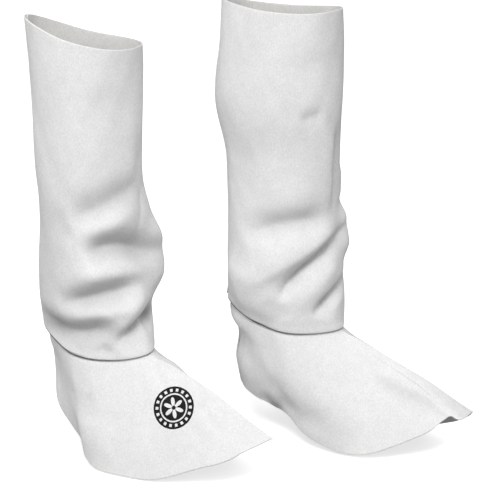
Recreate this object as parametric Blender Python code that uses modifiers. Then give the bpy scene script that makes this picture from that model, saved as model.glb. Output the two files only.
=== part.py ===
"""A pair of leather spats as worn: two hollow leg panels over two flared foot covers.

Frame, metres: +Z up, the pointed tips are toward -Y, and +X is the pair's left. The spat at -X is the right one.
The origin is midway between the two spats, at the height where they bend from upright to forward.
Each spat has a frame of its own: forward (toward its tip), side (toward the pair's left) and height. An angle goes
round a spat from forward (0) through side (90) to the back (180).
Every piece is one layer of leather: an open sheet, its outer face, with a Solidify that goes inward.
"""
import math

import bpy
import numpy as np

# ---- driving sizes, metres ----
LEATHER = 0.0018  # thickness of the split leather
GAP = 0.0008  # between two pieces where they are sewn
LAP_GAP = 0.0008  # between the two layers where a panel laps over itself at the back
TUCK = 0.009  # the cover's top edge goes this far up inside the leg panel
RAMP = 55.0  # degrees over which a panel's inner end sinks under its outer end
BELOW = 0.0015  # the cover turns outward this far below the leg panel's edge
ORIGIN_HEIGHT = 0.128  # height of the origin above the lowest hem
LEG_COLUMNS, LEG_ROWS = 46, 16
COVER_COLUMNS, COVER_ROWS = 46, 8

# where each spat stands, metres and degrees (turn: tip toward the pair's left)
PLACE = {
    "right": dict(x=-0.0820, y=0.0650, turn=-2.5, lap_from=142.0, lap=84.0, way=1),
    "left": dict(x=0.0820, y=-0.0650, turn=2.5, lap_from=-164.0, lap=31.0, way=-1),
}

# Sections of the leg panels, one row a height, millimetres:
# height, forward and side of the section's middle, reach to the front, to the back, half width, and how pointed the front is
SECTION = ("height", "forward", "side", "front", "back", "half", "point")
LEG = {
    "right": (
        (110, -5, -3, 71, 62, 51, 0.50),
        (150, -8, -5, 68, 64, 57, 0.26),
        (200, -9, -7, 61, 61, 59, 0.05),
        (260, -9, -7, 57, 58, 57, 0.00),
        (320, -12, -9, 57, 57, 57, 0.00),
        (380, -13, -9, 59, 59, 58, 0.00),
        (440, -14, -9, 61, 61, 60, 0.00),
        (500, -14, -10, 62, 62, 62, 0.00),
    ),
    "left": (
        (110, -2, -1, 72, 64, 57, 0.50),
        (150, -3, -2, 71, 65, 61, 0.26),
        (200, -3, -2, 66, 66, 62, 0.05),
        (260, -5, -3, 63, 64, 60, 0.00),
        (320, -6, -3, 65, 65, 61, 0.00),
        (380, -10, -6, 72, 72, 66, 0.00),
        (440, -8, -5, 69, 69, 64, 0.00),
        (500, -7, -4, 66, 66, 62, 0.00),
    ),
}

# Heights of the leg panels' two edges, millimetres: the mean, and what the front and the pair's left add, and what the
# front and back together (both) and the two diagonals (skew) add
EDGE = ("mean", "front", "left", "both", "skew")
SEAM = {"right": (126, -9, -1, 5, 2.6), "left": (130.5, -10.5, -4, 3.5, 2.2)}
RIM = {"right": (464, -9.5, -13.5, 1, 4), "left": (479.5, 0, -9.6, 1.7, 2.8)}

# Hems of the foot covers, one row an angle round the upright part, millimetres. The last three move the cover outward from the
# straight line between the seam and the hem: just below the seam, halfway down and above the hem.
HEM = ("angle", "forward", "side", "height", "out_top", "out_mid", "out_low")
COVER = {
    "right": (
        (-180, -57, 0, 60, 1, -1, 0),
        (-155, -54, -22, 58, 1, -1, 0),
        (-135, -41, -38, 53, 1, -2, -1),
        (-120, -30, -42, 42, 0, -2, -1),
        (-110, -8, -50, 31, 0, -1, 0),
        (-100, 7, -56, 23, 0, 0, 2),
        (-92, 16, -63, 11, 0, 0, 2),
        (-84, 24, -66, 6, 0, 0, 2),
        (-74, 35, -68, 2, 0, 0, 2),
        (-64, 49, -68, 1, 0, 0, 2),
        (-54, 65, -66, 1, 0, 0, 1),
        (-40, 102, -58, 2, 0, 0, 1),
        (-32, 119, -53, 7, 0, 0, 0),
        (-20, 157, -41, 24, 0, 1, 0),
        (-14, 173, -35, 30, 0, 1, 0),
        (-9, 187, -27, 37, 1, 3, 1),
        (-5, 196, -20, 44, 2, 4, 0),
        (-2, 206, -12, 50, 2, 6, 1),
        (0, 222, 0, 60, 3, 6, 1),
        (2, 212, 6, 54, 3, 6, 1),
        (5, 204, 11, 49, 3, 7, 1),
        (9, 194, 18, 43, 4, 7, 1),
        (15, 181, 27, 35, 5, 6, 2),
        (22, 163, 37, 25, 5, 4, 1),
        (36, 124, 55, 7, 4, 2, 0),
        (46, 100, 60, 3, 1, 1, 1),
        (60, 70, 60, 7, 0, 0, 1),
        (76, 44, 56, 18, 0, 0, 0),
        (90, 24, 51, 29, 0, 0, 0),
        (108, -8, 45, 38, 0, 0, 1),
        (120, -27, 40, 45, 0, -1, 1),
        (135, -41, 32, 51, 1, -1, 0),
        (155, -53, 20, 57, 1, -1, 0),
        (180, -57, 0, 60, 1, -1, 0),
    ),
    "left": (
        (-180, -58, 0, 50, 2, -4, 2),
        (-155, -53, -20, 49, 4, -5, 2),
        (-135, -41, -33, 47, 4, -5, 2),
        (-120, -29, -40, 43, 2, -3, 1),
        (-108, -8, -45, 37, 1, -1, 0),
        (-98, 10, -49, 33, 0, 0, -2),
        (-88, 26, -52, 30, 0, 0, -3),
        (-76, 49, -58, 17, 0, 0, -2),
        (-60, 76, -61, 8, 0, 0, -2),
        (-46, 107, -60, 3, 0, 0, 0),
        (-36, 132, -55, 6, 0, 0, 0),
        (-22, 174, -36, 25, 0, 0, 0),
        (-14, 193, -24, 36, 0, 1, 0),
        (-8, 204, -13, 47, 0, 3, 2),
        (-4, 212, -9, 51, 1, 3, 2),
        (-2, 221, -6, 48, 1, 3, 2),
        (0, 232, 0, 58, 2, 3, 2),
        (3, 226, 6, 51, 2, 4, 2),
        (8, 207, 20, 36, 3, 4, 1),
        (15, 186, 32, 24, 3, 3, 1),
        (24, 164, 44, 13, 3, 3, 1),
        (36, 135, 56, 4, 2, 2, 0),
        (50, 100, 64, 2, 0, 0, 1),
        (66, 62, 67, 1, 0, 0, 2),
        (80, 32, 66, 4, 0, 0, 2),
        (95, 10, 58, 19, 0, 0, 2),
        (110, -10, 50, 31, 0, -1, 2),
        (125, -30, 42, 42, 0, -3, 2),
        (145, -45, 29, 47, 1, -4, 2),
        (163, -55, 15, 49, 2, -4, 2),
        (180, -58, 0, 50, 2, -4, 2),
    ),
}

# Folds of the leg panels: a line from one point to another, past a middle one, as angle and height (degrees and
# millimetres), how wide the fold is to each side and how far it goes out (or in, if negative), millimetres.
FOLD = ("angle_a", "height_a", "angle_m", "height_m", "angle_b", "height_b", "width", "out")
FOLDS = {
    "right": (
        (30, 288, 38, 226, 35, 180, 23, 16),
        (-64, 293, -34, 309, 6, 316, 12, -2),
        (-74, 274, -36, 285, 12, 289, 13, 1.5),
        (-55, 252, -22, 257, 39, 235, 10, -5),
        (-54, 229, -24, 231, 39, 217, 11, 3),
        (-86, 188, -50, 203, -3, 204, 10, -4.5),
        (-78, 174, -44, 187, 16, 185, 9, 2.5),
        (-132, 167, -74, 159, -44, 172, 9, -3.5),
        (36, 173, -24, 160, -44, 138, 8, -3.5),
    ),
    "left": (
        (26, 257, 28, 222, 24, 186, 16, 4),
        (-102, 238, -56, 265, -16, 254, 10, -3),
        (-94, 196, -61, 223, -26, 244, 12, 2.5),
        (28, 238, -28, 221, -69, 179, 8, -5.5),
        (8, 215, -30, 192, -55, 163, 10, 2.5),
        (24, 186, -7, 175, -32, 155, 8, -4.5),
        (-140, 192, -125, 174, -112, 157, 11, -3),
    ),
}


def column(rows, names, name):
    return np.array([r[names.index(name)] for r in rows], float)


def along(x, xs, ys):
    """Values at x of a smooth line through the points xs, ys, which is straight past its ends."""
    x = np.asarray(x, float)
    slope = np.gradient(ys, xs)
    i = np.clip(np.searchsorted(xs, x) - 1, 0, len(xs) - 2)
    h = xs[i + 1] - xs[i]
    t = (x - xs[i]) / h
    inside = np.clip(t, 0, 1)
    a, b = inside**2 * (3 - 2 * inside), inside * (1 - inside)
    y = ys[i] * (1 - a) + ys[i + 1] * a + h * b * ((1 - inside) * slope[i] - inside * slope[i + 1])
    return y + (t - inside) * h * np.where(t > inside, slope[i + 1], slope[i])


def edge_height(row, angle):
    """Height of a leg panel's edge at an angle, metres."""
    mean, front, left, both, skew = row
    return (
        mean + front * np.cos(angle) + left * np.sin(angle) + both * np.cos(2 * angle) + skew * np.sin(2 * angle)
    ) / 1000


def section(spat, angle, height, inset=0.0):
    """Forward and side of a leg panel's outer face at angles and heights, metres; inset moves it inward."""
    rows, mm = LEG[spat], np.asarray(height) * 1000
    at = {n: along(mm, column(rows, SECTION, "height"), column(rows, SECTION, n)) / 1000 for n in SECTION[1:6]}
    point = along(mm, column(rows, SECTION, "height"), column(rows, SECTION, "point"))
    c, s = np.cos(angle), np.sin(angle)
    reach = np.where(c > 0, at["front"], at["back"])
    narrow = 1 - point * np.maximum(c, 0) ** 2
    forward, side = reach * c, at["half"] * s * narrow
    d_forward = -reach * s
    d_side = at["half"] * (c * narrow + s * point * 2 * np.maximum(c, 0) * s)
    size = np.hypot(d_forward, d_side)
    n_forward, n_side = d_side / size, -d_forward / size
    return forward - inset * n_forward + at["forward"], side - inset * n_side + at["side"], n_forward, n_side


def folds(spat, angle, height):
    """How far the folds push a leg panel outward, metres."""
    total = np.zeros(np.broadcast(angle, height).shape)
    girth = 0.064 * 1000
    for row in FOLDS[spat]:
        a0, h0, am, hm, a1, h1, width, out = row
        turn = (np.degrees(angle) - am + 180) % 360 - 180
        x, y = np.radians(turn) * girth, np.asarray(height) * 1000
        pts = [(math.radians(a0 - am) * girth, h0), (0.0, hm), (math.radians(a1 - am) * girth, h1)]
        best, where = None, None
        lengths = [math.dist(pts[0], pts[1]), math.dist(pts[1], pts[2])]
        for k in range(2):
            (px, py), (qx, qy) = pts[k], pts[k + 1]
            d2 = max((qx - px) ** 2 + (qy - py) ** 2, 1e-9)
            t = np.clip(((x - px) * (qx - px) + (y - py) * (qy - py)) / d2, 0, 1)
            d = np.hypot(x - px - t * (qx - px), y - py - t * (qy - py))
            w = (t * lengths[k] + (lengths[0] if k else 0)) / sum(lengths)
            if best is None:
                best, where = d, w
            else:
                where = np.where(d < best, w, where)
                best = np.minimum(d, best)
        taper = 0.25 + 0.75 * np.sin(np.pi * np.clip(where, 0, 1)) ** 0.7
        total += out / 1000 * taper * np.exp(-((best / width) ** 2))
    return total


def lap_inset(spat, angle):
    """How far a panel's inner end has sunk under its outer end, at degrees counted on from the outer end."""
    p = PLACE[spat]
    gone = (np.degrees(angle) - p["lap_from"]) * p["way"]
    t = np.clip((gone - (360 - RAMP)) / (RAMP - 4), 0, 1)
    return (LEATHER + LAP_GAP) * t * t * (3 - 2 * t)


def under_lap(spat, angle):
    """1 where the leg panel has two layers, 0 where it has one, with soft ends."""
    p = PLACE[spat]
    gone = ((np.degrees(angle) - p["lap_from"]) * p["way"]) % 360
    gone = np.where(gone > 300, gone - 360, gone)
    rise = np.clip((gone + RAMP) / (RAMP - 4), 0, 1)
    fall = np.clip((gone - p["lap"] - 3) / 25, 0, 1)
    return rise * rise * (3 - 2 * rise) * (1 - fall * fall * (3 - 2 * fall))


def leg_points(spat, angle, share):
    """Outer face of a leg panel; share runs from 0 at the seam to 1 at the rim."""
    low, high = edge_height(SEAM[spat], angle), edge_height(RIM[spat], angle)
    z = low + (high - low) * share
    f, s, nf, ns = section(spat, angle, z, lap_inset(spat, angle))
    out = folds(spat, angle, z)
    return np.stack([f + out * nf, s + out * ns, z], -1)


def cover_points(spat, angle, share):
    """Outer face of a foot cover; share runs from below 0 in the tuck, past 0 at the seam, to 1 at the hem."""
    rows = COVER[spat]
    degrees = (np.degrees(angle) + 180) % 360 - 180
    angles = column(rows, HEM, "angle")
    tip = list(angles).index(0)
    got = {}
    for n in HEM[1:]:
        ys = column(rows, HEM, n)
        before = along(degrees, angles[: tip + 1], ys[: tip + 1])
        after = along(degrees, angles[tip:], ys[tip:])
        got[n] = np.where(degrees < 0, before, after) / 1000
    seam = edge_height(SEAM[spat], angle) - BELOW
    inset = LEATHER + GAP + (LEATHER + LAP_GAP) * under_lap(spat, angle)
    top_f, top_s, nf, ns = section(spat, angle, seam, inset)
    fold = folds(spat, angle, seam)
    a = np.stack([top_f + fold * nf, top_s + fold * ns, seam], -1)
    h = np.stack([got["forward"], got["side"], got["height"]], -1)
    t = np.clip(share, 0, 1)
    p = a + (h - a) * t[..., None]
    lift = sum(
        got[n] * np.sin(np.pi * np.clip((t - t0) / (t1 - t0), 0, 1)) ** 2
        for n, t0, t1 in (("out_top", 0.0, 0.36), ("out_mid", 0.04, 0.86), ("out_low", 0.44, 1.0))
    )
    drop = h - a
    flat = np.hypot(nf, ns)
    n = np.stack([nf / flat, ns / flat, np.zeros_like(nf)], -1)
    along_drop = (n * drop).sum(-1, keepdims=True) / np.maximum((drop * drop).sum(-1, keepdims=True), 1e-9)
    n = n - along_drop * drop
    n /= np.linalg.norm(n, axis=-1, keepdims=True)
    p = p + n * lift[..., None]
    rise = np.maximum(-share, 0) * (TUCK + BELOW)
    if np.any(rise > 0):
        f, s, nf, ns = section(spat, angle, seam + rise, inset)
        fold = folds(spat, angle, seam + rise)
        up = np.stack([f + fold * nf, s + fold * ns, seam + rise], -1)
        p = np.where((share < 0)[..., None], up, p)
    return p - n * lap_inset(spat, angle)[..., None]


def placed(spat, points):
    """From a spat's own frame to the shared one."""
    p = PLACE[spat]
    turn = math.radians(p["turn"])
    forward = np.array([math.sin(turn), -math.cos(turn), 0.0])
    side = np.array([-forward[1], forward[0], 0.0])
    base = np.array([p["x"], p["y"], -ORIGIN_HEIGHT])
    return base + points[..., :1] * forward + points[..., 1:2] * side + points[..., 2:3] * np.array([0.0, 0.0, 1.0])


def panel_angles(spat, count, crowd=1.0):
    """Angles of a panel's columns from its outer end to its inner end; crowd over 1 draws them toward the front."""
    p = PLACE[spat]
    ends = np.array([p["lap_from"] - 360 * p["way"], p["lap_from"] + p["lap"] * p["way"]], float)
    ends = np.sign(ends) * (np.abs(ends) / 180) ** (1 / crowd)
    w = np.linspace(ends[0], ends[1], count + 1)
    w[np.abs(w).argmin()] = 0.0
    return np.radians(360 * p["way"] + np.sign(w) * 180 * np.abs(w) ** crowd)


def sheet(name, points, outward, material, parts):
    """An open sheet of points (rows by columns), with a Solidify that goes inward."""
    rows, columns = points.shape[:2]
    faces = []
    for r in range(rows - 1):
        for c in range(columns - 1):
            a, b = r * columns + c, r * columns + c + 1
            quad = (a, b, b + columns, a + columns)
            faces.append(quad if outward else quad[::-1])
    mesh = bpy.data.meshes.new(name)
    mesh.from_pydata([tuple(map(float, p)) for p in points.reshape(-1, 3)], [], faces)
    mesh.update()
    for polygon in mesh.polygons:
        polygon.use_smooth = True
    mesh.materials.append(material)
    ob = bpy.data.objects.new(name, mesh)
    solid = ob.modifiers.new("leather", "SOLIDIFY")
    solid.thickness = LEATHER
    solid.offset = -1.0
    solid.use_even_offset = True
    solid.use_rim = True
    parts.objects.link(ob)
    return ob


def leather(name, shade):
    m = bpy.data.materials.new(name)
    m.use_nodes = True
    b = m.node_tree.nodes["Principled BSDF"]
    b.inputs["Base Color"].default_value = (shade, shade, shade, 1)
    b.inputs["Roughness"].default_value = 0.85
    m.diffuse_color = (shade, shade, shade, 1)
    return m


def main():
    for ob in list(bpy.data.objects):
        bpy.data.objects.remove(ob, do_unlink=True)
    parts = bpy.data.collections.new("leather_spats")
    bpy.context.scene.collection.children.link(parts)
    made = {}
    for spat in PLACE:
        way = PLACE[spat]["way"]
        angle = panel_angles(spat, LEG_COLUMNS, 1.2)[None, :]
        share = np.linspace(0, 1, LEG_ROWS + 1)[:, None] ** 1.3
        angle, share = np.broadcast_arrays(angle, share)
        made["leg_panel_" + spat] = sheet(
            "leg_panel_" + spat, placed(spat, leg_points(spat, angle, share)), way > 0, leather("leather_leg_panel_" + spat, 0.72), parts)
        angle = panel_angles(spat, COVER_COLUMNS, 1.5)[None, :]
        share = np.concatenate([[-1.0], np.linspace(0, 1, COVER_ROWS)])[:, None]
        angle, share = np.broadcast_arrays(angle, share)
        made["foot_cover_" + spat] = sheet(
            "foot_cover_" + spat, placed(spat, cover_points(spat, angle, share)), way < 0, leather("leather_foot_cover_" + spat, 0.78), parts)
    return made


MADE = main()
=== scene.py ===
"""Looks for the pair of leather spats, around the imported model.

The sizes and the tables of sections, edges and hems are the ones that the solids are made from. Here each piece is a
finer closed shell on its solid's form, with rounded cut edges, sharper creases and the leather's nap.
"""

import math

import bpy
import numpy as np
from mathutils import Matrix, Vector


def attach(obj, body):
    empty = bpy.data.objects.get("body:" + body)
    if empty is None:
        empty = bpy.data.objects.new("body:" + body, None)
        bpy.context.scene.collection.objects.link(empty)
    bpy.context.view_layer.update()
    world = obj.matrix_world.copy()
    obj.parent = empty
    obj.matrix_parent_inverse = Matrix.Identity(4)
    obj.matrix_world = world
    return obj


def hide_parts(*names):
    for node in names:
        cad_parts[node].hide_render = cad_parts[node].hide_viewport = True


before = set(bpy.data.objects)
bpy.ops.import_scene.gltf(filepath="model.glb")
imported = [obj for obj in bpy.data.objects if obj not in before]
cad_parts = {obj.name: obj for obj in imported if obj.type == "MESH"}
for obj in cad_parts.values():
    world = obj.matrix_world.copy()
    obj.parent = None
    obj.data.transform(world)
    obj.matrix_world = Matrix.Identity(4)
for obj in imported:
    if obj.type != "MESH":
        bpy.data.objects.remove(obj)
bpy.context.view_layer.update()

# ---- driving sizes, metres ----
LEATHER = 0.0018
GAP = 0.0008
LAP_GAP = 0.0008
TUCK = 0.009
RAMP = 55.0
BELOW = 0.0015
PINCH = 0.0018  # the seam draws the cover in by this much
ORIGIN_HEIGHT = 0.128
LEG_COLUMNS, LEG_ROWS = 268, 150
COVER_COLUMNS, COVER_ROWS = 300, 76
FLOOR = -0.1292

PLACE = {
    "right": dict(x=-0.0820, y=0.0650, turn=-2.5, lap_from=142.0, lap=84.0, way=1),
    "left": dict(x=0.0820, y=-0.0650, turn=2.5, lap_from=-164.0, lap=31.0, way=-1),
}

# Sections of the leg panels, millimetres
SECTION = ("height", "forward", "side", "front", "back", "half", "point")
LEG = {
    "right": (
        (110, -5, -3, 71, 62, 51, 0.50),
        (150, -8, -5, 68, 64, 57, 0.26),
        (200, -9, -7, 61, 61, 59, 0.05),
        (260, -9, -7, 57, 58, 57, 0.00),
        (320, -12, -9, 57, 57, 57, 0.00),
        (380, -13, -9, 59, 59, 58, 0.00),
        (440, -14, -9, 61, 61, 60, 0.00),
        (500, -14, -10, 62, 62, 62, 0.00),
    ),
    "left": (
        (110, -2, -1, 72, 64, 57, 0.50),
        (150, -3, -2, 71, 65, 61, 0.26),
        (200, -3, -2, 66, 66, 62, 0.05),
        (260, -5, -3, 63, 64, 60, 0.00),
        (320, -6, -3, 65, 65, 61, 0.00),
        (380, -10, -6, 72, 72, 66, 0.00),
        (440, -8, -5, 69, 69, 64, 0.00),
        (500, -7, -4, 66, 66, 62, 0.00),
    ),
}

# Heights of the leg panels' edges, millimetres
SEAM = {"right": (126, -9, -1, 5, 2.6), "left": (130.5, -10.5, -4, 3.5, 2.2)}
RIM = {"right": (464, -9.5, -13.5, 1, 4), "left": (479.5, 0, -9.6, 1.7, 2.8)}

# Hems of the foot covers, one row an angle round the upright part, millimetres
HEM = ("angle", "forward", "side", "height", "out_top", "out_mid", "out_low")
COVER = {
    "right": (
        (-180, -57, 0, 60, 1, -1, 0),
        (-155, -54, -22, 58, 1, -1, 0),
        (-135, -41, -38, 53, 1, -2, -1),
        (-120, -30, -42, 42, 0, -2, -1),
        (-110, -8, -50, 31, 0, -1, 0),
        (-100, 7, -56, 23, 0, 0, 2),
        (-92, 16, -63, 11, 0, 0, 2),
        (-84, 24, -66, 6, 0, 0, 2),
        (-74, 35, -68, 2, 0, 0, 2),
        (-64, 49, -68, 1, 0, 0, 2),
        (-54, 65, -66, 1, 0, 0, 1),
        (-40, 102, -58, 2, 0, 0, 1),
        (-32, 119, -53, 7, 0, 0, 0),
        (-20, 157, -41, 24, 0, 1, 0),
        (-14, 173, -35, 30, 0, 1, 0),
        (-9, 187, -27, 37, 1, 3, 1),
        (-5, 196, -20, 44, 2, 4, 0),
        (-2, 206, -12, 50, 2, 6, 1),
        (0, 222, 0, 60, 3, 6, 1),
        (2, 212, 6, 54, 3, 6, 1),
        (5, 204, 11, 49, 3, 7, 1),
        (9, 194, 18, 43, 4, 7, 1),
        (15, 181, 27, 35, 5, 6, 2),
        (22, 163, 37, 25, 5, 4, 1),
        (36, 124, 55, 7, 4, 2, 0),
        (46, 100, 60, 3, 1, 1, 1),
        (60, 70, 60, 7, 0, 0, 1),
        (76, 44, 56, 18, 0, 0, 0),
        (90, 24, 51, 29, 0, 0, 0),
        (108, -8, 45, 38, 0, 0, 1),
        (120, -27, 40, 45, 0, -1, 1),
        (135, -41, 32, 51, 1, -1, 0),
        (155, -53, 20, 57, 1, -1, 0),
        (180, -57, 0, 60, 1, -1, 0),
    ),
    "left": (
        (-180, -58, 0, 50, 2, -4, 2),
        (-155, -53, -20, 49, 4, -5, 2),
        (-135, -41, -33, 47, 4, -5, 2),
        (-120, -29, -40, 43, 2, -3, 1),
        (-108, -8, -45, 37, 1, -1, 0),
        (-98, 10, -49, 33, 0, 0, -2),
        (-88, 26, -52, 30, 0, 0, -3),
        (-76, 49, -58, 17, 0, 0, -2),
        (-60, 76, -61, 8, 0, 0, -2),
        (-46, 107, -60, 3, 0, 0, 0),
        (-36, 132, -55, 6, 0, 0, 0),
        (-22, 174, -36, 25, 0, 0, 0),
        (-14, 193, -24, 36, 0, 1, 0),
        (-8, 204, -13, 47, 0, 3, 2),
        (-4, 212, -9, 51, 1, 3, 2),
        (-2, 221, -6, 48, 1, 3, 2),
        (0, 232, 0, 58, 2, 3, 2),
        (3, 226, 6, 51, 2, 4, 2),
        (8, 207, 20, 36, 3, 4, 1),
        (15, 186, 32, 24, 3, 3, 1),
        (24, 164, 44, 13, 3, 3, 1),
        (36, 135, 56, 4, 2, 2, 0),
        (50, 100, 64, 2, 0, 0, 1),
        (66, 62, 67, 1, 0, 0, 2),
        (80, 32, 66, 4, 0, 0, 2),
        (95, 10, 58, 19, 0, 0, 2),
        (110, -10, 50, 31, 0, -1, 2),
        (125, -30, 42, 42, 0, -3, 2),
        (145, -45, 29, 47, 1, -4, 2),
        (163, -55, 15, 49, 2, -4, 2),
        (180, -58, 0, 50, 2, -4, 2),
    ),
}

# Folds of the leg panels: a smooth line through three places, as angle and height (degrees and millimetres), how far the
# fold spreads to the left and to the right of the line as it runs, how far it goes out (in, if negative), millimetres, and
# how soft its bottom is (2 is round, less is sharper). On a line that runs toward greater angles, left is above it.
FOLD = ("angle_a", "height_a", "angle_m", "height_m", "angle_b", "height_b", "left", "right", "out", "soft")
FOLDS = {
    "right": (
        # the side the photograph shows
        (40, 164, 48, 216, 40, 270, 27, 25, 12.0, 2.0),  # the pouch in front
        (38, 176, 46, 238, 36, 306, 27, 25, 6.0, 2.0),
        (3, 250, 15, 280, 21, 314, 9, 6, -1.8, 1.6),
        (0, 300, 1, 345, 2, 400, 15, 9, 1.6, 2.0),
        (-80, 276, -36, 291, 18, 314, 17, 16, -7.6, 1.8),
        (-80, 256, -36, 268, 6, 282, 10, 12, 2.6, 2.0),
        (-66, 236, -16, 243, 60, 214, 14, 16, -16.0, 1.6),
        (-74, 208, -30, 216, 40, 208, 12, 11, 4.2, 2.0),
        (-98, 176, -50, 191, 10, 198, 12, 15, -13.5, 1.6),
        (-88, 164, -46, 173, 12, 180, 9, 9, 4.0, 2.0),
        (-152, 160, -80, 147, -36, 165, 13, 19, -14.5, 1.7),
        (-50, 130, -8, 156, 48, 167, 5.5, 16, -14.0, 1.5),
        (4, 152, 28, 156, 54, 152, 14, 9, -4.0, 1.8),
        (-38, 152, -10, 176, 14, 188, 12, 8, 3.4, 2.0),
        (-100, 138, -66, 138, -34, 140, 12, 9, 2.0, 2.0),
        (-104, 284, -88, 266, -78, 246, 14, 14, -1.5, 2.0),
        (-60, 135, -55, 128, -48, 122, 7, 7, -1.6, 2.0),
        (-60, 398, -30, 402, 5, 400, 14, 16, -0.9, 2.0),
        # round the back and the far side
        (176, 258, 186, 252, 196, 258, 8, 13, -2.4, 1.7),
        (60, 286, 92, 272, 138, 280, 9, 16, -5.0, 1.6),
        (62, 240, 92, 226, 130, 232, 10, 17, -6.4, 1.5),
        (60, 214, 88, 202, 126, 208, 10, 10, 2.2, 2.0),
        (66, 196, 98, 184, 150, 196, 10, 16, -6.0, 1.5),
        (52, 150, 84, 160, 128, 150, 9, 13, -5.0, 1.6),
        (150, 236, 172, 242, 195, 234, 8, 14, -3.6, 1.6),
        (146, 170, 170, 162, 194, 172, 8, 13, -3.6, 1.6),
    ),
    "left": (
        (28, 266, 32, 228, 28, 190, 16, 16, 8.5, 2.0),
        (28, 306, 30, 282, 30, 258, 14, 14, 2.4, 2.0),
        (-46, 366, -31, 371, -15, 374, 8, 11, -2.4, 1.6),
        (-15, 250, -8, 305, -12, 365, 15, 8, 3.4, 2.0),
        (0, 252, 4, 305, 1, 362, 5, 9, -2.6, 1.7),
        (-108, 228, -56, 252, 0, 246, 14, 14, -9.4, 1.7),
        (-106, 172, -50, 214, 16, 252, 22, 9, 5.0, 2.0),
        (-68, 160, -38, 204, 46, 241, 5.5, 8, -11.5, 1.5),
        (-56, 148, -26, 182, 10, 203, 10, 10, 3.0, 2.0),
        (-40, 140, -14, 166, 40, 182, 4.5, 10, -10.5, 1.5),
        (-24, 144, -6, 155, 24, 165, 8, 8, 1.8, 2.0),
        (-190, 134, -150, 130, -112, 132, 18, 12, 4.6, 2.0),
        (-150, 194, -112, 186, -78, 178, 14, 17, 3.4, 2.0),
        (-164, 152, -108, 135, -58, 122, 18, 12, -6.0, 2.0),
        (-84, 166, -72, 153, -62, 139, 10, 12, -1.6, 2.0),
        (-70, 420, -30, 428, 5, 420, 14, 16, -1.0, 2.0),
        # round the back and the far side
        (58, 276, 94, 262, 140, 270, 9, 16, -5.4, 1.6),
        (56, 250, 92, 238, 134, 246, 10, 11, 2.0, 2.0),
        (48, 222, 86, 206, 132, 214, 10, 17, -7.0, 1.5),
        (52, 200, 92, 186, 134, 192, 10, 10, 2.4, 2.0),
        (60, 166, 96, 178, 146, 168, 9, 15, -6.0, 1.5),
        (150, 236, 172, 226, 196, 236, 8, 14, -4.4, 1.6),
        (152, 194, 172, 186, 196, 194, 8, 12, -3.4, 1.7),
    ),
}

# Creases of the foot covers, the same way, as angle and share of the way from the seam to the hem
CREASE = ("angle_a", "share_a", "angle_m", "share_m", "angle_b", "share_b", "left", "right", "out")
CREASES = {
    "right": (
        (-98, 0.30, -96, 0.55, -96, 0.85, 10, 10, -0.5),
        (-75, 0.30, -78, 0.46, -82, 0.64, 8, 9, -1.2),
        (-52, 0.40, -56, 0.62, -62, 0.84, 9, 10, -1.1),
        (60, 0.14, 70, 0.45, 78, 0.80, 11, 11, -1.5),
        (36, 0.20, 42, 0.50, 44, 0.86, 12, 12, 0.9),
        (120, 0.20, 124, 0.55, 126, 0.90, 10, 10, -1.4),
        (-130, 0.15, -136, 0.50, -140, 0.88, 11, 11, -1.2),
    ),
    "left": (
        (-96, 0.90, -76, 0.86, -36, 0.68, 13, 15, -3.2),
        (-98, 0.50, -86, 0.66, -76, 0.80, 11, 11, 1.8),
        (-111, 0.95, -99, 0.97, -87, 0.95, 9, 6, -4.0),
        (-16, 0.36, -8, 0.62, -2, 0.95, 10, 9, 2.8),
        (-124, 0.10, -118, 0.40, -120, 0.70, 10, 10, -0.8),
        (56, 0.16, 70, 0.45, 84, 0.82, 11, 11, -1.6),
        (30, 0.20, 40, 0.52, 46, 0.86, 13, 13, 1.0),
        (118, 0.20, 126, 0.55, 128, 0.90, 10, 10, -1.4),
    ),
}

# Slow swells of the leather: waves round a leg panel, length of a wave up it, height, and where it starts
SWELL = ("round", "up", "high", "start")
SWELLS = (
    (2, 310, 0.55, 0.4),
    (3, -240, 0.50, 2.1),
    (4, 190, 0.34, 4.0),
    (5, -150, 0.30, 1.2),
    (7, 130, 0.20, 5.1),
    (8, -96, 0.17, 3.3),
    (11, 78, 0.10, 0.9),
    (13, -60, 0.09, 2.8),
    (17, 46, 0.06, 4.6),
)

# Painted shade, darkening the leather's colour where a fold or hem turns so far in that it lies in shade: angle, height
# in millimetres or share of the way to the hem, how far it reaches both ways, and how dark
SHADE = ("angle", "place", "wide", "tall", "dark")
SHADES = {
    "leg_right": ((32, 159, 15, 8, 0.50), (30, 237, 17, 9, 0.20), (-124, 146, 22, 9, 0.16), (-108, 232, 32, 62, 0.15)),
    "leg_left": ((34, 180, 14, 8, 0.16), (-128, 142, 26, 9, 0.20), (-84, 420, 44, 80, 0.08)),
    "cover_right": ((-104, 0.96, 9, 0.07, 0.12),),
    "cover_left": ((-97, 0.985, 8, 0.050, 0.75), (-58, 0.80, 22, 0.09, 0.08), (1, 0.86, 3, 0.30, 0.10)),
}

# Where the round stamp lies on the right foot cover, and its radius
STAMP = dict(spat="right", angle=-17.0, share=0.475, radius=0.0230)


def column(rows, names, name):
    return np.array([r[names.index(name)] for r in rows], float)


def along(x, xs, ys):
    """Values at x of a smooth line through the points xs, ys, which is straight past its ends."""
    x = np.asarray(x, float)
    slope = np.gradient(ys, xs)
    i = np.clip(np.searchsorted(xs, x) - 1, 0, len(xs) - 2)
    h = xs[i + 1] - xs[i]
    t = (x - xs[i]) / h
    inside = np.clip(t, 0, 1)
    a, b = inside**2 * (3 - 2 * inside), inside * (1 - inside)
    y = ys[i] * (1 - a) + ys[i + 1] * a + h * b * ((1 - inside) * slope[i] - inside * slope[i + 1])
    return y + (t - inside) * h * np.where(t > inside, slope[i + 1], slope[i])


def edge_height(row, angle):
    mean, front, left, both, skew = row
    return (
        mean + front * np.cos(angle) + left * np.sin(angle) + both * np.cos(2 * angle) + skew * np.sin(2 * angle)
    ) / 1000


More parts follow.
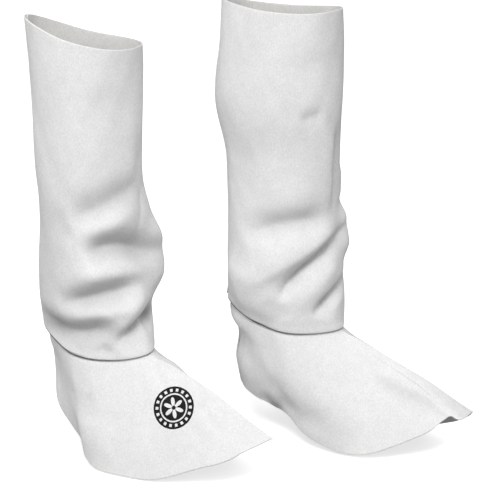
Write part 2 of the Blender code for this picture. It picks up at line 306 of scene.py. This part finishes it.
def section(spat, angle, height, inset=0.0):
    """Forward and side of a leg panel's outer face at angles and heights, metres; inset moves it inward."""
    rows, mm = LEG[spat], np.asarray(height) * 1000
    at = {n: along(mm, column(rows, SECTION, "height"), column(rows, SECTION, n)) / 1000 for n in SECTION[1:6]}
    point = along(mm, column(rows, SECTION, "height"), column(rows, SECTION, "point"))
    c, s = np.cos(angle), np.sin(angle)
    reach = np.where(c > 0, at["front"], at["back"])
    narrow = 1 - point * np.maximum(c, 0) ** 2
    forward, side = reach * c, at["half"] * s * narrow
    d_forward = -reach * s
    d_side = at["half"] * (c * narrow + s * point * 2 * np.maximum(c, 0) * s)
    size = np.hypot(d_forward, d_side)
    n_forward, n_side = d_side / size, -d_forward / size
    return forward - inset * n_forward + at["forward"], side - inset * n_side + at["side"], n_forward, n_side


def curve_points(ax, ay, mx, my, bx, by, count=25):
    """A smooth line through three places."""
    w = np.linspace(0, 1, count)
    a, m, b = (1 - w) * (1 - 2 * w), 4 * w * (1 - w), w * (2 * w - 1)
    return a * ax + m * mx + b * bx, a * ay + m * my + b * by, w


def nearest_on(path, places):
    """For each place: its vector from the nearest place on the path, the path's direction there, and how far along it is."""
    shape = places.shape[:-1]
    best, away = np.full(shape, 1e9), np.zeros(places.shape)
    heading, along_path = np.zeros(places.shape), np.zeros(shape)
    for k in range(len(path) - 1):
        step = path[k + 1] - path[k]
        size2 = float((step * step).sum())
        t = np.clip(((places - path[k]) * step).sum(-1) / size2, 0, 1)
        v = places - path[k] - t[..., None] * step
        d = np.linalg.norm(v, axis=-1)
        near = d < best
        best = np.where(near, d, best)
        away = np.where(near[..., None], v, away)
        heading = np.where(near[..., None], step / math.sqrt(size2), heading)
        along_path = np.where(near, (k + t) / (len(path) - 1), along_path)
    return best, away, heading, along_path


def soft_ends(w):
    """How strong a fold is along its line: full in the middle, gone at the ends."""
    t = np.clip(np.minimum(w, 1 - w) / 0.34, 0, 1)
    return t * t * (3 - 2 * t)


def ridge(d, left, right, out, soft=2.0):
    """A trough or ridge across its line; d is the distance, positive to the left."""
    wide = np.where(d > 0, left, right)
    return out * np.exp(-((np.sqrt(d * d + 0.5) / wide) ** soft))


def folds(spat, angle, height, troughs=False):
    """How far the folds and swells push a leg panel outward, metres; with troughs, only what goes in."""
    girth = 0.064 * 1000
    degrees, mm = np.broadcast_arrays(np.degrees(angle), np.asarray(height) * 1000)
    total = np.zeros(degrees.shape)
    for a0, h0, am, hm, a1, h1, left, right, out, soft in FOLDS[spat]:
        if troughs and out > 0:
            continue
        turn = (degrees - am + 180) % 360 - 180
        x = np.radians(turn) * girth
        px, py, _ = curve_points(
            math.radians(a0 - am) * girth, h0, 0.0, hm, math.radians(a1 - am) * girth, h1)
        best, away, heading, w = nearest_on(np.stack([px, py], -1), np.stack([x, mm], -1))
        above = heading[..., 0] * away[..., 1] - heading[..., 1] * away[..., 0] >= 0
        total += soft_ends(w) * ridge(np.where(above, best, -best), left, right, out, soft)
    for turns, up, high, start in () if troughs else SWELLS:
        total += high * np.cos(turns * np.radians(degrees) + 2 * np.pi * mm / up + start + (1.7 if spat == "left" else 0.0))
    return total / 1000


def lap_inset(spat, angle):
    """How far a panel's inner end has sunk under its outer end."""
    p = PLACE[spat]
    gone = (np.degrees(angle) - p["lap_from"]) * p["way"]
    t = np.clip((gone - (360 - RAMP)) / (RAMP - 4), 0, 1)
    return (LEATHER + LAP_GAP) * t * t * (3 - 2 * t)


def under_lap(spat, angle):
    """1 where the leg panel has two layers, 0 where it has one, with soft ends."""
    p = PLACE[spat]
    gone = ((np.degrees(angle) - p["lap_from"]) * p["way"]) % 360
    gone = np.where(gone > 300, gone - 360, gone)
    rise = np.clip((gone + RAMP) / (RAMP - 4), 0, 1)
    fall = np.clip((gone - p["lap"] - 3) / 25, 0, 1)
    return rise * rise * (3 - 2 * rise) * (1 - fall * fall * (3 - 2 * fall))


def leg_points(spat, angle, share):
    """Outer face of a leg panel; share runs from 0 at the seam to 1 at the rim. Its lower edge is rolled over."""
    low, high = edge_height(SEAM[spat], angle), edge_height(RIM[spat], angle)
    z = low + (high - low) * share
    f, s, nf, ns = section(spat, angle, z, lap_inset(spat, angle))
    above = (z - low) * 1000
    roll = 0.4 * np.exp(-(((above - 3.0) / 3.5) ** 2))
    out = folds(spat, angle, z) + roll / 1000
    return np.stack([f + out * nf, s + out * ns, z], -1)


def shades(piece, angle, place):
    """Painted shade on the leather's colour where it turns in."""
    total = 0.0
    for at, where, wide, tall, dark in SHADES[piece]:
        turn = (np.degrees(angle) - at + 180) % 360 - 180
        total = total + dark * np.exp(-((turn / wide) ** 2) - ((place - where) / tall) ** 2)
    return total


def seam_turn(angle):
    """1 on the outer rear side, where the seam is deepest, to 0 in front."""
    return np.maximum(np.cos(angle + 2.2), 0)


def cover_points(spat, angle, share):
    """Outer face of a foot cover; share runs from below 0 in the tuck, past 0 at the seam, to 1 at the hem."""
    rows = COVER[spat]
    degrees = (np.degrees(angle) + 180) % 360 - 180
    angles = column(rows, HEM, "angle")
    tip = list(angles).index(0)
    got = {}
    for n in HEM[1:]:
        ys = column(rows, HEM, n)
        before = along(degrees, angles[: tip + 1], ys[: tip + 1])
        after = along(degrees, angles[tip:], ys[tip:])
        got[n] = np.where(degrees < 0, before, after) / 1000
    seam = edge_height(SEAM[spat], angle) - BELOW
    inset = LEATHER + GAP + (LEATHER + LAP_GAP) * under_lap(spat, angle)
    top_f, top_s, nf, ns = section(spat, angle, seam, inset)
    fold = folds(spat, angle, seam)
    a = np.stack([top_f + fold * nf, top_s + fold * ns, seam], -1)
    h = np.stack([got["forward"], got["side"], got["height"]], -1)
    t = np.clip(share, 0, 1)
    p = a + (h - a) * t[..., None]
    lift = sum(
        got[n] * np.sin(np.pi * np.clip((t - t0) / (t1 - t0), 0, 1)) ** 2
        for n, t0, t1 in (("out_top", 0.0, 0.36), ("out_mid", 0.04, 0.86), ("out_low", 0.44, 1.0))
    )
    drop = h - a
    flat = np.hypot(nf, ns)
    n = np.stack([nf / flat, ns / flat, np.zeros_like(nf)], -1)
    along_drop = (n * drop).sum(-1, keepdims=True) / np.maximum((drop * drop).sum(-1, keepdims=True), 1e-9)
    n = n - along_drop * drop
    n /= np.linalg.norm(n, axis=-1, keepdims=True)
    pinch = PINCH * (0.35 + 0.65 * seam_turn(angle)) * np.exp(-((share * 0.13 / 0.0034) ** 2))
    p = p + n * (lift - pinch)[..., None]
    rise = np.maximum(-share, 0) * (TUCK + BELOW)
    if np.any(rise > 0):
        f, s, nf, ns = section(spat, angle, seam + rise, inset)
        fold = folds(spat, angle, seam + rise)
        up = np.stack([f + (fold - pinch) * nf, s + (fold - pinch) * ns, seam + rise], -1)
        p = np.where((share < 0)[..., None], up, p)
    return p - n * lap_inset(spat, angle)[..., None]


def seam_painted_shade(spat, angle, share):
    """Painted shade on a foot cover's colour: 1 in the seam under the leg panel's edge, where the seam lies in shade.
    """
    wide = 0.0085 + 0.012 * seam_turn(angle) + 0.010 * under_lap(spat, angle)
    return np.clip((wide - share) / 0.005, 0, 1) * (0.35 + 0.65 * seam_turn(angle))


def leg_painted_shade(spat, angle, share, height):
    """Painted shade on a leg panel's colour: in its deep folds, along its lower edge where that is drawn in, and at its
    SHADES places.
    """
    low, high = edge_height(SEAM[spat], angle), edge_height(RIM[spat], angle)
    above = (high - low) * share * 1000
    edge = np.clip((2.3 - above) / 0.9, 0, 1) * np.clip((seam_turn(angle) - 0.60) / 0.28, 0, 1) * 0.95
    deep = np.clip(folds(spat, angle, height, troughs=True) / -0.013, 0, 1) * 0.30
    return np.clip(edge + deep + shades("leg_" + spat, angle, height * 1000), 0, 1)


def placed(spat, points):
    """From a spat's own frame to the shared one."""
    p = PLACE[spat]
    turn = math.radians(p["turn"])
    forward = np.array([math.sin(turn), -math.cos(turn), 0.0])
    side = np.array([-forward[1], forward[0], 0.0])
    base = np.array([p["x"], p["y"], -ORIGIN_HEIGHT])
    return base + points[..., :1] * forward + points[..., 1:2] * side + points[..., 2:3] * np.array([0.0, 0.0, 1.0])


def with_ends(values, length, steps):
    """Evenly spaced values from 0 to 1 with extra ones close to both ends, for a rounded edge; steps are metres."""
    close = np.array(steps) / length
    middle = values[(values > close[-1] * 1.6) & (values < 1 - close[-1] * 1.6)]
    return np.concatenate([close, middle, 1 - close[::-1]])


def panel_angles(spat, count, crowd):
    """Angles of a panel's columns from its outer end to its inner end; crowd over 1 draws them toward the front."""
    p = PLACE[spat]
    ends = np.array([p["lap_from"] - 360 * p["way"], p["lap_from"] + p["lap"] * p["way"]], float)
    first, last = np.sign(ends) * (np.abs(ends) / 180) ** (1 / crowd)
    w = with_ends(np.linspace(0, 1, count + 1), 0.45, EDGE_STEPS)
    w = first + (last - first) * w
    w[np.abs(w).argmin()] = 0.0
    return np.radians(360 * p["way"] + np.sign(w) * 180 * np.abs(w) ** crowd)


EDGE_STEPS = (0.0, 0.00003, 0.00015, 0.0004, 0.0009)


def normals_of(points):
    down, across = np.gradient(points, axis=0), np.gradient(points, axis=1)
    n = np.cross(across, down)
    return n / np.maximum(np.linalg.norm(n, axis=-1, keepdims=True), 1e-12)


def pushed(points, normal, rows, line):
    """Moves a cover's points along its normals for its creases; line(angle, share) gives places on the plain cover."""
    out = np.zeros(points.shape[:2])
    for a0, s0, am, sm, a1, s1, left, right, high in rows:
        x, y, w = curve_points(a0, s0, am, sm, a1, s1)
        path = line(np.radians(x)[None, :], y[None, :])[0]
        best, away, heading, w = nearest_on(path, points)
        sign = (np.cross(heading, away) * normal).sum(-1)
        strong = soft_ends(w)
        # the far wall of the hollow is also near, and its normal points the other way
        middle = len(path) // 2
        home = ((points - path[middle]) ** 2).sum(-1).argmin()
        facing = (normal * normal.reshape(-1, 3)[home]).sum(-1)
        out += strong * np.clip(facing * 3, 0, 1) * ridge(np.where(sign >= 0, best, -best) * 1000, left, right, high)
    return points + normal * out[..., None] / 1000


def shell(name, outer, normal, across, down, roundness, material, painted_shade):
    """A closed shell under a grid of outer points, as thick as the leather, with rounded edges. across and down are the
    distances of each column and row to the nearest edge; the last argument is painted shade: how far the leather's
    colour is darkened where seams, folds and turned-in hems would lie in shade."""
    r = LEATHER / 2
    near = np.minimum(down[:, None], across[None, :])
    part = np.clip((r - near) / r, 0, 1)
    half = r * (1 - part**roundness) ** (1 / roundness)
    half[(near <= 0)] = 0.0
    rows, columns = outer.shape[:2]
    middle = outer - normal * r
    top, under = middle + normal * half[..., None], middle - normal * half[..., None]
    index = np.arange(rows * columns).reshape(rows, columns)
    border = near <= 0
    second = np.where(border, index, 0)
    second[~border] = rows * columns + np.arange((~border).sum())
    vertices = np.concatenate([top.reshape(-1, 3), under[~border]])
    quads = np.stack([index[:-1, :-1], index[:-1, 1:], index[1:, 1:], index[1:, :-1]], -1).reshape(-1, 4)
    inner = np.stack([second[:-1, :-1], second[1:, :-1], second[1:, 1:], second[:-1, 1:]], -1).reshape(-1, 4)
    a, b, c, d = (vertices[quads[:, k]] for k in range(4))
    if (np.cross(b - a, c - a) * normal.reshape(-1, 3)[quads[:, 0]]).sum() < 0:
        quads, inner = quads[:, ::-1], inner[:, ::-1]
    faces = np.concatenate([quads, inner])
    mesh = bpy.data.meshes.new(name)
    mesh.vertices.add(len(vertices))
    mesh.vertices.foreach_set("co", vertices.astype(np.float32).ravel())
    mesh.loops.add(faces.size)
    mesh.loops.foreach_set("vertex_index", faces.astype(np.int32).ravel())
    mesh.polygons.add(len(faces))
    mesh.polygons.foreach_set("loop_start", np.arange(0, faces.size, 4, dtype=np.int32))
    mesh.update(calc_edges=True)
    mesh.validate()
    mesh.polygons.foreach_set("use_smooth", np.ones(len(mesh.polygons), bool))
    fleshy = mesh.attributes.new("flesh", "FLOAT", "POINT")
    fleshy.data.foreach_set("value", np.concatenate(
        [np.clip(1 - near.ravel() / (0.5 * r), 0, 1) * 0.5, np.ones((~border).sum())]).astype(np.float32))
    # painted shade, the same on the outer and the under face
    seam = np.broadcast_to(painted_shade, near.shape)
    mesh.attributes.new("painted_shade", "FLOAT", "POINT").data.foreach_set(
        "value", np.concatenate([seam.ravel(), seam[~border]]).astype(np.float32))
    mesh.materials.append(material)
    ob = bpy.data.objects.new(name, mesh)
    bpy.context.scene.collection.objects.link(ob)
    area = float(np.linalg.norm(np.cross(b - a, d - a), axis=1).sum())
    return ob, area, vertices


# ---- leather ----
def leather(name, tone, seed, stamp=False):
    """Soft split leather with a fine nap: near white, faintly cloudy, dull."""
    m = bpy.data.materials.new(name)
    m.use_nodes = True
    tree = m.node_tree
    nodes, links = tree.nodes, tree.links
    b = nodes["Principled BSDF"]

    def node(kind, **values):
        made = nodes.new(kind)
        for key, value in values.items():
            setattr(made, key, value)
        return made

    def noise(scale, detail, rough, move=(0, 0, 0), stretch=(1, 1, 1)):
        mapping = node("ShaderNodeMapping")
        mapping.inputs["Location"].default_value = [seed * 0.37 + v for v in move]
        mapping.inputs["Scale"].default_value = stretch
        links.new(coords.outputs["Object"], mapping.inputs["Vector"])
        made = node("ShaderNodeTexNoise")
        made.inputs["Scale"].default_value = scale
        made.inputs["Detail"].default_value = detail
        made.inputs["Roughness"].default_value = rough
        links.new(mapping.outputs["Vector"], made.inputs["Vector"])
        return made.outputs["Fac"]

    def ranged(value, low, high, to_low, to_high):
        made = node("ShaderNodeMapRange")
        made.inputs["From Min"].default_value = low
        made.inputs["From Max"].default_value = high
        made.inputs["To Min"].default_value = to_low
        made.inputs["To Max"].default_value = to_high
        links.new(value, made.inputs["Value"])
        return made.outputs["Result"]

    def math_node(kind, first, second=None, clamp=False):
        made = node("ShaderNodeMath", operation=kind, use_clamp=clamp)
        for k, value in enumerate((first, second)):
            if value is None:
                continue
            if isinstance(value, (int, float)):
                made.inputs[k].default_value = value
            else:
                links.new(value, made.inputs[k])
        return made.outputs[0]

    coords = node("ShaderNodeTexCoord")
    cloud = noise(22, 4, 0.55)
    patch = noise(95, 3, 0.6, (1, 2, 3))
    nap = noise(620, 3, 0.65, (3, 1, 2), (1.0, 1.0, 0.7))
    grain = noise(1500, 2, 0.6, (5, 4, 2))
    flesh = node("ShaderNodeAttribute", attribute_name="flesh", attribute_type="GEOMETRY").outputs["Fac"]

    shade = math_node("MULTIPLY", ranged(cloud, 0.3, 0.7, 0.965, 1.025), ranged(patch, 0.3, 0.7, 0.97, 1.02))
    shade = math_node("MULTIPLY", shade, ranged(nap, 0.3, 0.7, 0.90, 1.06))
    shade = math_node("MULTIPLY", shade, ranged(grain, 0.3, 0.7, 0.95, 1.03))
    shade = math_node("MULTIPLY", shade, ranged(flesh, 0.0, 1.0, 1.0, 0.93))
    # painted shade: this attribute darkens the base colour down to 0.14 of its tone where seams, folds and turned-in
    # hems would lie in shade
    painted_shade = node("ShaderNodeAttribute", attribute_name="painted_shade", attribute_type="GEOMETRY").outputs["Fac"]
    shade = math_node("MULTIPLY", shade, ranged(painted_shade, 0.0, 1.0, 1.0, 0.14))
    tint = node("ShaderNodeMix", data_type="RGBA", blend_type="MIX")
    tint.inputs[6].default_value = (tone, tone, tone * 0.995, 1)
    tint.inputs[7].default_value = (tone * 0.97, tone * 0.96, tone * 0.935, 1)
    links.new(math_node("MULTIPLY", flesh, 0.7), tint.inputs[0])
    scaled = node("ShaderNodeVectorMath", operation="SCALE")
    links.new(tint.outputs[2], scaled.inputs[0])
    links.new(shade, scaled.inputs["Scale"])
    colour = scaled.outputs[0]
    rough = ranged(patch, 0.3, 0.7, 0.80, 0.95)
    height = math_node("ADD", math_node("MULTIPLY", nap, 0.6), math_node("MULTIPLY", grain, 0.25))
    height = math_node("ADD", height, math_node("MULTIPLY", patch, 0.5))

    if stamp:
        uv = node("ShaderNodeAttribute", attribute_name="mark", attribute_type="GEOMETRY")
        split = node("ShaderNodeSeparateXYZ")
        links.new(uv.outputs["Vector"], split.inputs[0])
        x, y = split.outputs[0], split.outputs[1]
        r = math_node("SQRT", math_node("ADD", math_node("MULTIPLY", x, x), math_node("MULTIPLY", y, y)))
        r = math_node("ADD", r, ranged(nap, 0.0, 1.0, -0.012, 0.012))
        turn = math_node("ARCTAN2", y, x)

        def ring(low, high):
            return math_node("MULTIPLY", math_node("GREATER_THAN", r, low), math_node("LESS_THAN", r, high))

        ticks = math_node("GREATER_THAN", math_node("COSINE", math_node("MULTIPLY", turn, 18.0)), 0.15)
        petals = math_node("ABSOLUTE", math_node("COSINE", math_node("MULTIPLY", turn, 3.0)))
        petals = math_node("GREATER_THAN", math_node("MULTIPLY", petals, 0.50), r)
        heart = math_node("LESS_THAN", r, 0.10)
        ink = math_node("SUBTRACT", ring(0.68, 1.0), math_node("MULTIPLY", ring(0.76, 0.90), ticks))
        ink = math_node("ADD", ink, math_node("SUBTRACT", ring(-1.0, 0.61), petals))
        ink = math_node("ADD", ink, heart, clamp=True)
        outside = math_node("LESS_THAN", flesh, 0.5)
        ink = math_node("MULTIPLY", ink, outside)
        worn = ranged(grain, 0.25, 0.42, 0.95, 1.0)
        ink = math_node("MULTIPLY", ink, worn, clamp=True)
        inked = node("ShaderNodeMix", data_type="RGBA", blend_type="MIX")
        links.new(ink, inked.inputs[0])
        links.new(colour, inked.inputs[6])
        inked.inputs[7].default_value = (0.004, 0.004, 0.0045, 1)
        colour = inked.outputs[2]
        rough = math_node("SUBTRACT", rough, math_node("MULTIPLY", ink, 0.25))

    links.new(colour, b.inputs["Base Color"])
    links.new(rough, b.inputs["Roughness"])
    bump = node("ShaderNodeBump")
    bump.inputs["Strength"].default_value = 0.55
    bump.inputs["Distance"].default_value = 0.0006
    links.new(height, bump.inputs["Height"])
    links.new(bump.outputs["Normal"], b.inputs["Normal"])
    b.inputs["Specular IOR Level"].default_value = 0.16
    b.inputs["Sheen Weight"].default_value = 0.03
    b.inputs["Sheen Roughness"].default_value = 0.6
    return m


made = {}
for spat, seed in (("right", 1.0), ("left", 2.3)):
    # the leg panel
    angles = panel_angles(spat, LEG_COLUMNS, 1.15)
    shares = with_ends(np.linspace(0, 1, LEG_ROWS + 1) ** 1.12, 0.345, EDGE_STEPS)
    shares = np.sort(np.append(shares, [0.0014 / 0.345, 0.0020 / 0.345]))
    angle, share = np.broadcast_arrays(angles[None, :], shares[:, None])
    outer = placed(spat, leg_points(spat, angle, share))
    normal = normals_of(outer)
    centre = outer.mean((0, 1))
    if ((outer - centre) * normal)[..., :2].sum() < 0:
        normal = -normal
    down = np.minimum(shares, 1 - shares) * 0.345
    across = np.minimum(np.abs(angles - angles[0]), np.abs(angles - angles[-1])) * 0.064
    ob, area, _ = shell(
        "leather_leg_" + spat, outer, normal, across, down, 3.0, leather("split_leather_leg_" + spat, 0.81, seed),
        leg_painted_shade(spat, angle, share, outer[..., 2] + ORIGIN_HEIGHT))
    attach(ob, "root")
    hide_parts("leg_panel_" + spat)
    made["leg_panel_" + spat] = (ob, area)

    # the foot cover
    angles = panel_angles(spat, COVER_COLUMNS, 1.45)
    low = with_ends(np.linspace(0, 1, COVER_ROWS + 1), 0.13, EDGE_STEPS)
    low = np.concatenate([np.arange(0, 0.046, 0.005), low[low > 0.048]])
    tuck = -np.array([1.0, 0.9967, 0.985, 0.96, 0.91, 0.75, 0.5, 0.25, 0.1])
    shares = np.concatenate([tuck, low])
    angle, share = np.broadcast_arrays(angles[None, :], shares[:, None])
    outer = placed(spat, cover_points(spat, angle, share))
    normal = normals_of(outer)
    centre = outer.mean((0, 1))
    if ((outer - centre) * normal)[..., :2].sum() < 0:
        normal = -normal
    held = np.clip(share * 7, 0, 1)[..., None]
    creased = pushed(outer, normal, CREASES[spat], lambda a, s: placed(spat, cover_points(spat, a, s)))
    outer = outer + (creased - outer) * held * held * (3 - 2 * held)
    normal = normals_of(outer) * (1 if (normals_of(outer) * normal).sum() > 0 else -1)
    down = np.where(shares < 0, (1 + shares) * (TUCK + BELOW), np.minimum(0.01 + shares, 1 - shares) * 0.13)
    across = np.minimum(np.abs(angles - angles[0]), np.abs(angles - angles[-1])) * 0.064
    marked = spat == STAMP["spat"]
    # painted shade: the foot covers' leather is given a darker tone than the leg panels' (0.765 against 0.81), though
    # it is the same leather, to offset the stronger light on their upward faces
    ob, area, vertices = shell(
        "leather_cover_" + spat, outer, normal, across, down, 3.5, leather("split_leather_cover_" + spat, 0.765, seed + 5, marked),
        np.clip(seam_painted_shade(spat, angle, share) + shades("cover_" + spat, angle, share), 0, 1))
    if marked:
        place = placed(spat, cover_points(spat, np.radians([[STAMP["angle"]]]), np.array([[STAMP["share"]]])))[0, 0]
        nearest = ((outer - place) ** 2).sum(-1).argmin()
        out = normal.reshape(-1, 3)[nearest]
        east = np.cross([0.0, 0.0, 1.0], out)
        east /= np.linalg.norm(east)
        north = np.cross(out, east)
        away = vertices - place
        mark = np.stack([away @ east, away @ north, np.zeros(len(away))], -1) / STAMP["radius"]
        faced = np.zeros(len(away) * 3, np.float32)
        ob.data.vertex_normals.foreach_get("vector", faced)
        mark[(np.abs(faced.reshape(-1, 3) @ out) < 0.25) | (np.abs(away @ out) > 0.045)] = (9, 9, 0)
        turned = math.radians(12)
        mark[:, :2] = mark[:, :2] @ np.array([[math.cos(turned), math.sin(turned)], [-math.sin(turned), math.cos(turned)]])
        ob.data.attributes.new("mark", "FLOAT_VECTOR", "POINT").data.foreach_set("vector", mark.astype(np.float32).ravel())
    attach(ob, "root")
    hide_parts("foot_cover_" + spat)
    made["foot_cover_" + spat] = (ob, area)

for name, (ob, area) in made.items():
    print("AREA", name, round(area, 4), "triangles", sum(len(p.vertices) - 2 for p in ob.data.polygons))

# The flat cuts, metres: width, length, and the area where the cut isn't a rectangle
CUTS = {
    "leg_panel_right": (0.47, 0.36, 0.158),
    "foot_cover_right": (0.52, 0.29, 0.075),
    "leg_panel_left": (0.47, 0.36, 0.158),
    "foot_cover_left": (0.52, 0.29, 0.075),
}
for name, (width, length, area) in CUTS.items():
    spat = name.split("_")[-1]

# ---- floor, light and camera ----
floor_mesh = bpy.data.meshes.new("floor")
floor_mesh.from_pydata([(-14, -14, FLOOR), (14, -14, FLOOR), (14, 14, FLOOR), (-14, 14, FLOOR)], [], [(0, 1, 2, 3)])
floor = bpy.data.objects.new("floor", floor_mesh)
bpy.context.scene.collection.objects.link(floor)
pale = bpy.data.materials.new("pale_floor")
pale.use_nodes = True
pale_shader = pale.node_tree.nodes["Principled BSDF"]
pale_shader.inputs["Base Color"].default_value = (0.93, 0.93, 0.93, 1)
pale_shader.inputs["Roughness"].default_value = 0.9
pale_shader.inputs["Specular IOR Level"].default_value = 0.0
pale_shader.inputs["Emission Color"].default_value = (1, 1, 1, 1)
pale_shader.inputs["Emission Strength"].default_value = 0.58
floor_mesh.materials.append(pale)
floor.visible_diffuse = False
floor.visible_glossy = False

world = bpy.data.worlds.new("studio")
bpy.context.scene.world = world
world.use_nodes = True
sky = world.node_tree
sky_coords = sky.nodes.new("ShaderNodeTexCoord")
sky_split = sky.nodes.new("ShaderNodeSeparateXYZ")
sky.links.new(sky_coords.outputs["Generated"], sky_split.inputs[0])
sky_ramp = sky.nodes.new("ShaderNodeMapRange")
sky_ramp.inputs["From Min"].default_value = -1.0
sky_ramp.inputs["From Max"].default_value = 1.0
sky_ramp.inputs["To Min"].default_value = 0.16
sky_ramp.inputs["To Max"].default_value = 0.62
sky.links.new(sky_split.outputs[2], sky_ramp.inputs["Value"])
sky.nodes["Background"].inputs["Color"].default_value = (1, 1, 1, 1)
sky.links.new(sky_ramp.outputs["Result"], sky.nodes["Background"].inputs["Strength"])


def lamp(name, azimuth, elevation, distance, size, power):
    data = bpy.data.lights.new(name, "AREA")
    data.shape = "DISK"
    data.size = size
    data.energy = power
    ob = bpy.data.objects.new(name, data)
    a, e = math.radians(azimuth), math.radians(elevation)
    way = Vector((math.sin(a) * math.cos(e), -math.cos(a) * math.cos(e), math.sin(e)))
    ob.location = Vector((0, -0.03, 0.08)) + way * distance
    ob.rotation_euler = way.to_track_quat("Z", "Y").to_euler()
    bpy.context.scene.collection.objects.link(ob)


lamp("key", -62, 49, 3.2, 1.2, 57)
lamp("left", -98, 20, 3.4, 1.4, 27)
lamp("right", -4, 18, 3.4, 1.4, 13)
lamp("back", 176, 20, 3.4, 1.4, 8)

# the camera stands where the photograph was taken from
AZIMUTH, ELEVATION, DISTANCE, PIXELS = -57.0, 18.5, 2.40, 2222.0
target = Vector((0.0035, -0.066, 0.097))
a, e = math.radians(AZIMUTH), math.radians(ELEVATION)
back = Vector((math.sin(a) * math.cos(e), -math.cos(a) * math.cos(e), math.sin(e)))
camera_data = bpy.data.cameras.new("camera")
camera_data.sensor_width = 36.0
camera_data.sensor_fit = "HORIZONTAL"
camera_data.lens = 36.0 * PIXELS / 500
camera_data.clip_start = 0.05
camera_data.clip_end = 60
camera = bpy.data.objects.new("camera", camera_data)
camera.location = target + back * DISTANCE
camera.rotation_euler = back.to_track_quat("Z", "Y").to_euler()
bpy.context.scene.collection.objects.link(camera)
bpy.context.scene.camera = camera
bpy.context.scene.view_settings.view_transform = "Standard"
bpy.context.scene.view_settings.look = "None"
